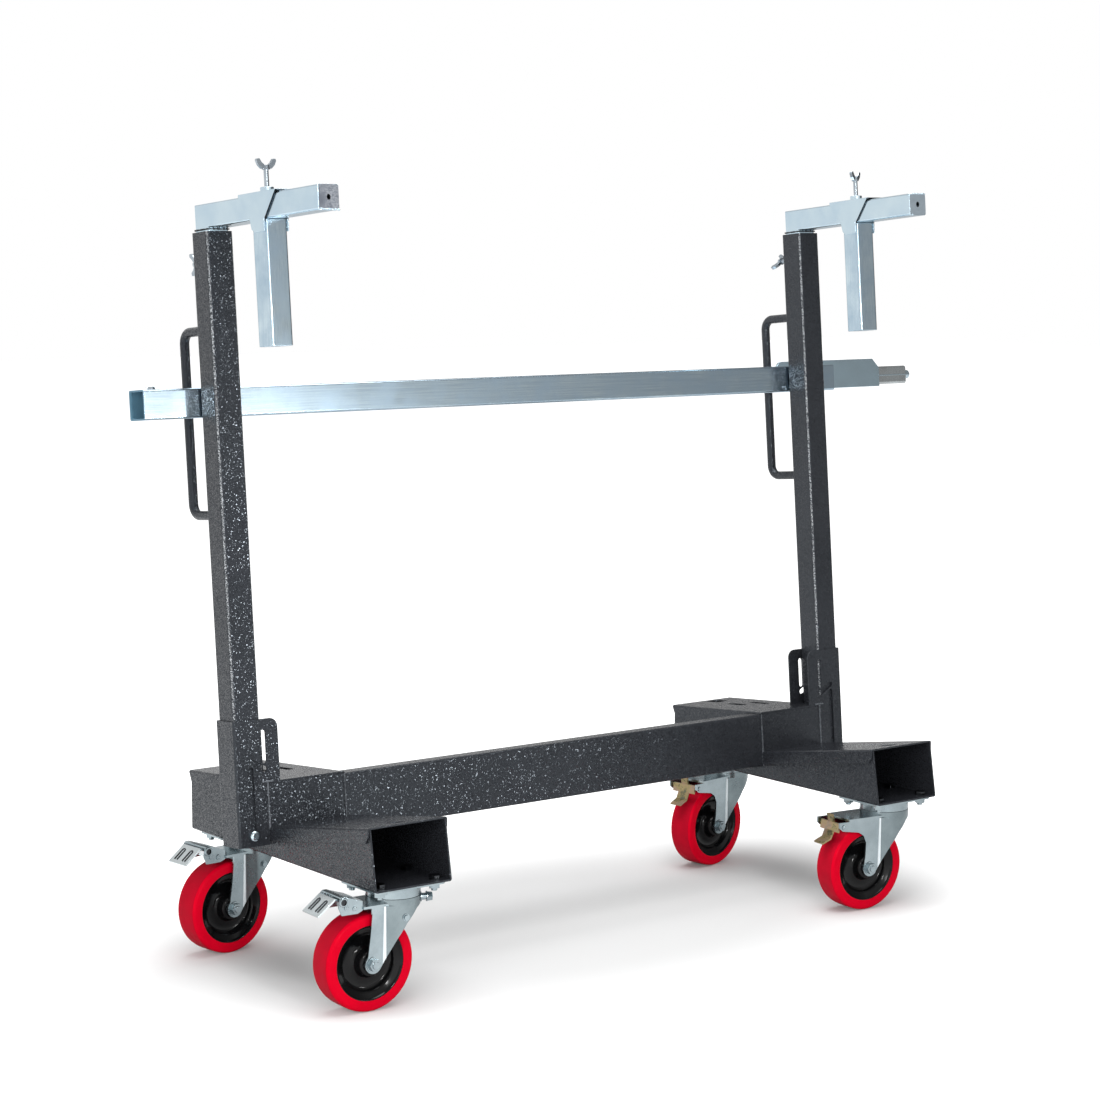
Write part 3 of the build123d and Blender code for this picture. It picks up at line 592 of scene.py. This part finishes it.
def head_tree():
    """Screw and rivet heads with washers, standing on the points of a seed mesh."""
    inputs = (("Sides", "Int"), ("Radius", "Float"), ("Top", "Float"), ("Height", "Float"),
              ("Washer", "Float"), ("Finish", "Material"))
    tree, start, end = new_tree("fixed_heads", inputs)
    given = start.outputs
    shape = {"Vertices": given["Sides"], "Radius Bottom": given["Radius"], "Radius Top": given["Top"]}
    head = add(tree, "GeometryNodeMeshCone", {**shape, "Depth": given["Height"]})
    disc = {"Vertices": 24, "Radius Bottom": given["Washer"], "Radius Top": given["Washer"]}
    washer = add(tree, "GeometryNodeMeshCone", {**disc, "Depth": 0.0014})
    both = add(tree, "GeometryNodeJoinGeometry")
    tree.links.new(head.outputs["Mesh"], both.inputs["Geometry"])
    tree.links.new(washer.outputs["Mesh"], both.inputs["Geometry"])
    facing = add(tree, "GeometryNodeInputNamedAttribute", {"Name": "facing"}, data_type="FLOAT_VECTOR")
    outwards = {"Vector": facing.outputs["Attribute"]}
    aimed = add(tree, "FunctionNodeAlignRotationToVector", outwards, axis="Z")
    stood = {"Points": given["Geometry"], "Instance": both.outputs["Geometry"],
             "Rotation": aimed.outputs["Rotation"]}
    seated = add(tree, "GeometryNodeInstanceOnPoints", stood)
    return close_tree(tree, end, seated.outputs["Instances"], given["Finish"])


def heads(name, seats, place, body, slot, finish, sizes):
    """Heads on seats, each given as a spot and a direction in mm in a frame."""
    mesh = bpy.data.meshes.new(name)
    mesh.from_pydata([place @ (Vector(spot) / 1000) for spot, _ in seats], [], [])
    facing = mesh.attributes.new("facing", "FLOAT_VECTOR", "POINT")
    for index, (_, aim) in enumerate(seats):
        facing.data[index].vector = place.to_3x3() @ Vector(aim)
    return settle(grown(name, mesh, fixed_heads, {**sizes, "Finish": finish}), finish, body, slot)


fixed_heads = head_tree()
web_shade_zinc = zinc_plate("web_shade_zinc", web_shade_pale, web_shade_grey, 0.16, 0.30)
fold_highlight_zinc = zinc_plate("fold_highlight_zinc", fold_highlight_pale, fold_highlight_grey, 0.30, 0.40)
web_screw = {"Sides": 6, "Radius": 0.0052, "Top": 0.0046, "Height": 0.0042, "Washer": 0.0060}
crown_bolt = {"Sides": 6, "Radius": 0.0086, "Top": 0.0074, "Height": 0.0095, "Washer": 0.0084}
crown_neck = {"Sides": 20, "Radius": 0.0056, "Top": 0.0056, "Height": 0.0100, "Washer": 0.0082}
for name in caster_turn:
    place = caster_frame(name)
    body = f"{name}_swivel"
    levelled = place.inverted()
    fold = (fold_r, lambda edge: all(abs((levelled @ corner.co).x - fold_x) < 1e-5 and
                                     abs((levelled @ corner.co).y) > fold_y for corner in edge.verts))
    fork = dressed_copy(f"{name}_fork", caster_zinc, "zinc", fork_ease, steps=3, bend=fold)
    # Painted shade: the web is darker than the legs; painted highlight: a pale band along each fold.
    second_finish(fork, web_shade_zinc, lambda face: (levelled @ face.center).x > fold_x + fold_r)
    second_finish(fork, fold_highlight_zinc, lambda face: abs((levelled @ face.center).x - fold_x) < fold_r
                  and abs((levelled @ face.center).y) > fold_y)
    axle = dressed_copy(f"{name}_axle", caster_zinc, "bright_steel", zinc_ease)
    second_finish(axle, dark_and_painted_shade,
                  lambda face: spacer_start < abs((levelled @ face.center).y) < spacer_end)
    dressed_copy(f"{name}_bearing", caster_zinc, "bright_steel", zinc_ease)
    far_outline = [(r, -along) for r, along in washer_outline]
    washers = lathe(f"{name}_axle_washers", [washer_outline, far_outline], hub_frame(name), steps=36)
    settle(washers, caster_zinc, body, "bright_steel")
    if name.endswith("left"):
        x, y, z = web_seat
        seats = [((x, sign * y, z), (web_slope, sign, 0)) for sign in (-1, 1)]
        heads(f"{name}_web_screws", seats, place, body, "bright_steel", caster_zinc, web_screw)
        aim = Vector((cos(crown_turn), sin(crown_turn), 0))
        root = aim * neck_reach + Vector((0, 0, crown_z))
        tip = aim * bolt_reach + Vector((0, 0, crown_z))
        heads(f"{name}_crown_neck", [(root, aim)], place, body, "bright_steel", caster_zinc, crown_neck)
        heads(f"{name}_crown_bolt", [(tip, aim)], place, body, "bright_steel", caster_zinc, crown_bolt)

# Wheels
# Red polyurethane tyres with a duller tread, cast on glossy black nylon centres with a deep dish.
# Each wheel turns on a sleeve over the axle bolt.
tyre_red = (0.68, 0.0006, 0.017, 1)
tyre_dull = (0.60, 0.0006, 0.016, 1)
tread_red = (0.52, 0.003, 0.020, 1)
tread_dull = (0.44, 0.003, 0.018, 1)
core_black = (0.0022, 0.0022, 0.0025, 1)
core_grey = (0.0036, 0.0036, 0.0040, 1)
tyre_half = ((61.5, 24.4), (62.2, 25), (73.6, 25), (76.0, 24.5), (78.0, 23.0), (79.2, 21.0),
             (79.6, 18.6), (79.9, 9))
core_half = ((14, 28.1), (19, 28.1), (20.5, 27), (21.5, 20), (23, 13.5), (26, 10.6), (31, 9.6),
             (42, 9.2), (45, 10.4), (47, 13.5), (48.6, 16.2), (51, 17.6), (57.2, 20.2), (58.8, 21.4),
             (59.6, 23.2), (60.4, 23.6), (61.4, 23.6))
tread_half = 0.0212


def moulded(name, first, second, rough, scale, sheen):
    """Moulded plastic or rubber: two close tones and an even gloss."""
    finish, tree, shader, space = new_finish(name)
    cloud = clouds(tree, space, scale, 3.0)
    tree.links.new(ramp(tree, cloud, (0.3, first), (0.7, second)), shader.inputs["Base Color"])
    tree.links.new(span(tree, cloud, 0.3, 0.7, rough - 0.05, rough + 0.05), shader.inputs["Roughness"])
    shader.inputs["Specular IOR Level"].default_value = sheen
    relief(tree, shader, clouds(tree, space, 900, 2.0), 0.08, 0.0002)
    return finish


def both_halves(half):
    """A closed outline from one half of it."""
    return [*half, *[(r, -along) for r, along in reversed(half)]]


red = moulded("red_tyre", tyre_dull, tyre_red, rough=0.30, scale=22, sheen=0.03)
dull_red = moulded("red_tread", tread_dull, tread_red, rough=0.50, scale=40, sheen=0.04)
black = moulded("black_core", core_black, core_grey, rough=0.12, scale=30, sheen=0.26)
for name in caster_turn:
    hub = hub_frame(name)
    body = f"{name}_wheel"
    tyre = lathe(f"{name}_tyre_finished", [both_halves(tyre_half)], hub, steps=128)
    settle(tyre, red, body, "red_tyre", f"{name}_tyre")
    levelled = hub.inverted()
    second_finish(tyre, dull_red, lambda face: abs((levelled @ face.center).y) < tread_half)
    core = lathe(f"{name}_core_finished", [both_halves(core_half)], hub, steps=112, sharp=48)
    settle(core, black, body, "black_core", f"{name}_wheel_core")

# Brakes of the left casters
# A folded housing over the wheel with two rivets and a rolled eye on each side, and a foot pedal
# with two ribs pressed into its tread. The pedal is painted paler for the light on its upturned
# tread; the ribs and the bores of the eyes are painted dark as their shade.
pedal_lit_pale = (0.88, 0.94, 0.96, 1)
pedal_lit_grey = (0.76, 0.83, 0.85, 1)
housing_ease, pedal_ease = 0.0011, 0.0009
rib_radius, rib_lift = 0.0010, 0.4
rib_across = (-11, 11)
rib_half, rib_top, rib_end, rib_steps = 3.4, 12, 33, 8
tread_root, tread_tip = Vector((-121, 0, -9)), Vector((-152.5, 0, -33.5))
eye_ring = ((5.2, 30.6), (7.6, 30.6), (7.6, 32.6), (6.8, 33.4), (5.2, 33.4))
eye_floor = ((0.4, 30.8), (5.3, 30.8), (5.3, 31.6), (0.4, 31.6))
eye_place, eye_bore = (-0.1095, 0, -0.0150), 0.0053
rivet_seats, rivet_out = ((-88, -28), (-103, -25)), 31
rivet = {"Sides": 18, "Radius": 0.0038, "Top": 0.0022, "Height": 0.0020, "Washer": 0.0046}


def rib_tree():
    """Round ribs along the edges of a seed mesh."""
    tree, start, end = new_tree("pressed_rib", (("Radius", "Float"), ("Finish", "Material")))
    path = add(tree, "GeometryNodeMeshToCurve", {"Mesh": start.outputs["Geometry"]})
    circle = {"Resolution": 10, "Radius": start.outputs["Radius"]}
    section = add(tree, "GeometryNodeCurvePrimitiveCircle", circle).outputs["Curve"]
    sweep = {"Curve": path.outputs["Curve"], "Profile Curve": section, "Fill Caps": True}
    rib = add(tree, "GeometryNodeCurveToMesh", sweep)
    return close_tree(tree, end, rib.outputs["Mesh"], start.outputs["Finish"])


pressed_rib = rib_tree()
# Painted light: the pedal's zinc is paler than the casters' for the light falling on its tread.
pedal_lit_zinc = zinc_plate("pedal_lit_zinc", pedal_lit_pale, pedal_lit_grey, 0.16, 0.30)
for end in ("front", "rear"):
    name = f"{end}_left"
    place = caster_frame(name)
    body = f"{name}_swivel"
    dressed_copy(f"{name}_brake_housing", caster_zinc, "zinc", housing_ease, steps=3)
    dressed_copy(f"{name}_brake_pedal", pedal_lit_zinc, "zinc", pedal_ease, steps=3)
    seats = [((x, sign * rivet_out, z), (0, sign, 0)) for x, z in rivet_seats for sign in (-1, 1)]
    heads(f"{name}_rivets", seats, place, body, "bright_steel", caster_zinc, rivet)
    centre = place @ Matrix.Translation(eye_place)
    outlines = []
    for shape in (eye_ring, eye_floor):
        outlines += [[(r, sign * along) for r, along in shape] for sign in (-1, 1)]
    eye = settle(lathe(f"{name}_housing_eyes", outlines, centre, steps=28), caster_zinc, body, "zinc")
    levelled = centre.inverted()
    # Painted shade in the bore of each eye.
    second_finish(eye, dark_and_painted_shade, lambda face: (levelled @ face.center).xz.length < eye_bore)
    fall = (tread_tip - tread_root).normalized()
    lift = Vector((fall.z, 0, -fall.x)) * rib_lift
    turns = [pi * step / rib_steps for step in range(rib_steps + 1)]
    outline = [(rib_top - rib_half * sin(turn), -rib_half * cos(turn)) for turn in turns]
    outline = [(rib_end, -rib_half), *outline, (rib_end, rib_half)]
    runs = []
    for across in rib_across:
        spots = [tread_root + fall * down + Vector((0, across + aside, 0)) for down, aside in outline]
        runs.append([place @ ((spot + lift) / 1000) for spot in spots])
    # Painted shade: the ribs take the dark finish so that they read as grooves.
    sizes = {"Radius": rib_radius, "Finish": dark_and_painted_shade}
    ribs = grown(f"{name}_pedal_ribs", lines_mesh(f"{name}_pedal_ribs", runs), pressed_rib, sizes)
    ribs.data.shade_smooth()
    settle(ribs, dark_and_painted_shade, f"{name}_pedal", "zinc")

# Direction locks of the right casters
# A yellow zinc-plated lever between the fork's arms, with an upright tab and a tread paddle; the
# plating shimmers from olive to gold and rose.
lock_tones = ((0.30, (0.15, 0.15, 0.10, 1)), (0.44, (0.36, 0.29, 0.14, 1)),
              (0.56, (0.42, 0.28, 0.20, 1)), (0.70, (0.24, 0.25, 0.18, 1)))
lever_ease = 0.0011
pin_x, pin_out, pin_z = -118, 34.5, -40


def yellow_plate(name):
    """Yellow zinc plating with drifting tints."""
    finish, tree, shader, space = new_finish(name)
    drift = clouds(tree, space, 55, 3.0, 0.6)
    tree.links.new(ramp(tree, drift, *lock_tones), shader.inputs["Base Color"])
    tree.links.new(span(tree, drift, 0.3, 0.7, 0.24, 0.40), shader.inputs["Roughness"])
    shader.inputs["Metallic"].default_value = 0.85
    relief(tree, shader, clouds(tree, space, 300, 2.0), 0.1, 0.0003)
    return finish


yellow = yellow_plate("yellow_zinc")
for end in ("front", "rear"):
    name = f"{end}_right"
    place = caster_frame(name)
    dressed_copy(f"{name}_lock_lever", yellow, "yellow_zinc", lever_ease, steps=3)
    seats = [((pin_x, sign * pin_out, pin_z), (0, sign, 0)) for sign in (-1, 1)]
    heads(f"{name}_pin_heads", seats, place, f"{name}_swivel", "bright_steel", caster_zinc, rivet)

# Studio
# A pale floor fades into a white surround, which metal mirrors as dim on the right, with a bright
# window in front. A broad lamp stands at the left, a large one hangs above, a narrow strip in front
# lights the edges, and a small low one the grain of the coat.
floor_size = 40.0
paper_seen = (0.60, 0.60, 0.60, 1)
paper_mirrored = (0.45, 0.455, 0.46, 1)
paper_pale = (0.54, 0.545, 0.55, 1)
paper_shade = (0.50, 0.505, 0.51, 1)
fade_start, fade_end = 0.26, 0.80
fade_shape = (0.55, 1.0, 1.0)
fade_middle = (-0.14, 0.02)
far_glow = 0.9
mirrored_glow = ((-1.6, 0.75), (1.0, 0.30))
floor_mesh = bpy.data.meshes.new("floor")
half = floor_size / 2
floor_corners = [(-half, -half, 0), (half, -half, 0), (half, half, 0), (-half, half, 0)]
floor_mesh.from_pydata(floor_corners, [], [(0, 1, 2, 3)])
floor = placed("floor", floor_mesh)
paper, paper_tree, paper_shader, paper_space = new_finish("floor_paper")
paper_shader.inputs["Roughness"].default_value = 0.95
paper_shader.inputs["Specular IOR Level"].default_value = 0.0
paper_shader.inputs["Emission Color"].default_value = (1, 1, 1, 1)


def ray_kinds(tree):
    """Whether a ray comes from the camera, and whether from a mirroring or clear surface."""
    kinds = add(tree, "ShaderNodeLightPath").outputs
    either = add(tree, "ShaderNodeMath", operation="MAXIMUM")
    tree.links.new(kinds["Is Glossy Ray"], either.inputs[0])
    tree.links.new(kinds["Is Transmission Ray"], either.inputs[1])
    return kinds["Is Camera Ray"], either.outputs["Value"]


seen, mirrored = ray_kinds(paper_tree)
tint = ramp(paper_tree, clouds(paper_tree, paper_space, 1.5), (0.3, paper_shade), (0.7, paper_pale))
tint = blend_colour(paper_tree, mirrored, tint, paper_mirrored)
tint = blend_colour(paper_tree, seen, tint, paper_seen)
paper_tree.links.new(tint, paper_shader.inputs["Base Color"])
shift = (-fade_middle[0] * fade_shape[0], -fade_middle[1], 0)
oval = {"Vector": paper_space, "Location": shift, "Scale": fade_shape}
oval = add(paper_tree, "ShaderNodeMapping", oval)
reach = add(paper_tree, "ShaderNodeVectorMath", operation="LENGTH")
paper_tree.links.new(oval.outputs["Vector"], reach.inputs[0])
far_white = span(paper_tree, reach.outputs["Value"], fade_start, fade_end, 0.0, far_glow, "SMOOTHSTEP")
sideways = add(paper_tree, "ShaderNodeSeparateXYZ", {"Vector": paper_space}).outputs["X"]
(left_end, left_glow), (right_end, right_glow) = mirrored_glow
dimmed = span(paper_tree, sideways, left_end, right_end, left_glow, right_glow)
dimmed = product(paper_tree, mirrored, dimmed)
shown = add(paper_tree, "ShaderNodeMath", operation="ADD")
paper_tree.links.new(seen, shown.inputs[0])
paper_tree.links.new(dimmed, shown.inputs[1])
glow = product(paper_tree, far_white, shown.outputs["Value"])
paper_tree.links.new(glow, paper_shader.inputs["Emission Strength"])
floor_mesh.materials.append(paper)

ambient = 0.54
ceiling, ceiling_share = 0.25, 0.75
ceiling_start, ceiling_end = 0.25, 0.8
window_towards = (-0.37, -0.92, 0.10)
window_start, window_end = 0.92, 0.97
window_glow = (1.4, 1.4, 1.4, 1)
surround_tones = ((0.35, 0.90), (0.735, 0.90), (0.757, 0.68), (0.785, 0.46), (0.85, 0.22), (1.0, 0.10))
world = bpy.data.worlds.new("surround")
world.use_nodes = True
scene.world = world
surround = world.node_tree
heading = add(surround, "ShaderNodeTexCoord").outputs["Generated"]
towards = add(surround, "ShaderNodeSeparateXYZ", {"Vector": heading}).outputs
stops = [(place, (tone, tone, tone, 1)) for place, tone in surround_tones]
walls = ramp(surround, span(surround, towards["X"], -1, 1, 0, 1), *stops)
overhead = span(surround, towards["Z"], ceiling_start, ceiling_end, 0.0, ceiling_share)
studio = blend_colour(surround, overhead, walls, (ceiling, ceiling, ceiling, 1))
nearness = add(surround, "ShaderNodeVectorMath", {"Vector": heading}, operation="DOT_PRODUCT")
nearness.inputs[1].default_value = window_towards
window = span(surround, nearness.outputs["Value"], window_start, window_end, 0.0, 1.0)
studio = blend_colour(surround, window, studio, window_glow)
seen, mirrored = ray_kinds(surround)
lit = blend_colour(surround, mirrored, (ambient, ambient, ambient, 1), studio)
white = blend_colour(surround, seen, lit, (1, 1, 1, 1))
surround.links.new(white, surround.nodes["Background"].inputs["Color"])


def softbox(name, place, aim, size, power, beam=180, mirrored=True):
    """A soft lamp of a width and height, aimed at a point, with a beam of so many degrees. It may be
    kept out of what metal mirrors."""
    lamp = bpy.data.lights.new(name, "AREA")
    lamp.shape = "RECTANGLE"
    lamp.size, lamp.size_y = size
    lamp.energy = power
    lamp.spread = radians(beam)
    holder = placed(name, lamp)
    holder.location = place
    holder.rotation_euler = (Vector(aim) - Vector(place)).to_track_quat("-Z", "Y").to_euler()
    holder.visible_camera = False
    holder.visible_glossy = mirrored


softbox("left_lamp", (-3.4, -2.0, 1.4), aim=(-0.1, 0, 0.5), size=(2.0, 2.0), power=62, mirrored=False)
softbox("top_lamp", (-0.3, -0.1, 3.4), aim=(-0.1, 0, 0.4), size=(2.8, 2.8), power=125)
softbox("edge_lamp", (-1.2, -4.0, 1.3), aim=(-0.1, 0, 0.8), size=(0.12, 0.7), power=40)
softbox("grain_lamp", (0.76, -2.6, 0.70), aim=(-0.7, 0, 0.74), size=(0.14, 0.40), power=1.0, beam=40)

view_turn, view_tilt, view_roll = radians(-37.221), radians(6.729), radians(0.167)
view_place = (-3.00064, -3.72243, 1.23157)
lens_length, sensor_width = 87.46, 36
lens_back = Vector((sin(view_turn) * cos(view_tilt), -cos(view_turn) * cos(view_tilt), sin(view_tilt)))
lens_right = Vector((cos(view_turn), sin(view_turn), 0))
lens_up = lens_back.cross(lens_right)
rolled_right = cos(view_roll) * lens_right + sin(view_roll) * lens_up
rolled_up = cos(view_roll) * lens_up - sin(view_roll) * lens_right
lens = bpy.data.cameras.new("camera")
lens.lens = lens_length
lens.sensor_width = sensor_width
lens.sensor_fit = "HORIZONTAL"
camera = placed("camera", lens)
place = Matrix((rolled_right, rolled_up, lens_back)).transposed().to_4x4()
place.translation = view_place
camera.matrix_world = place
scene.camera = camera
scene.view_settings.view_transform = "Standard"
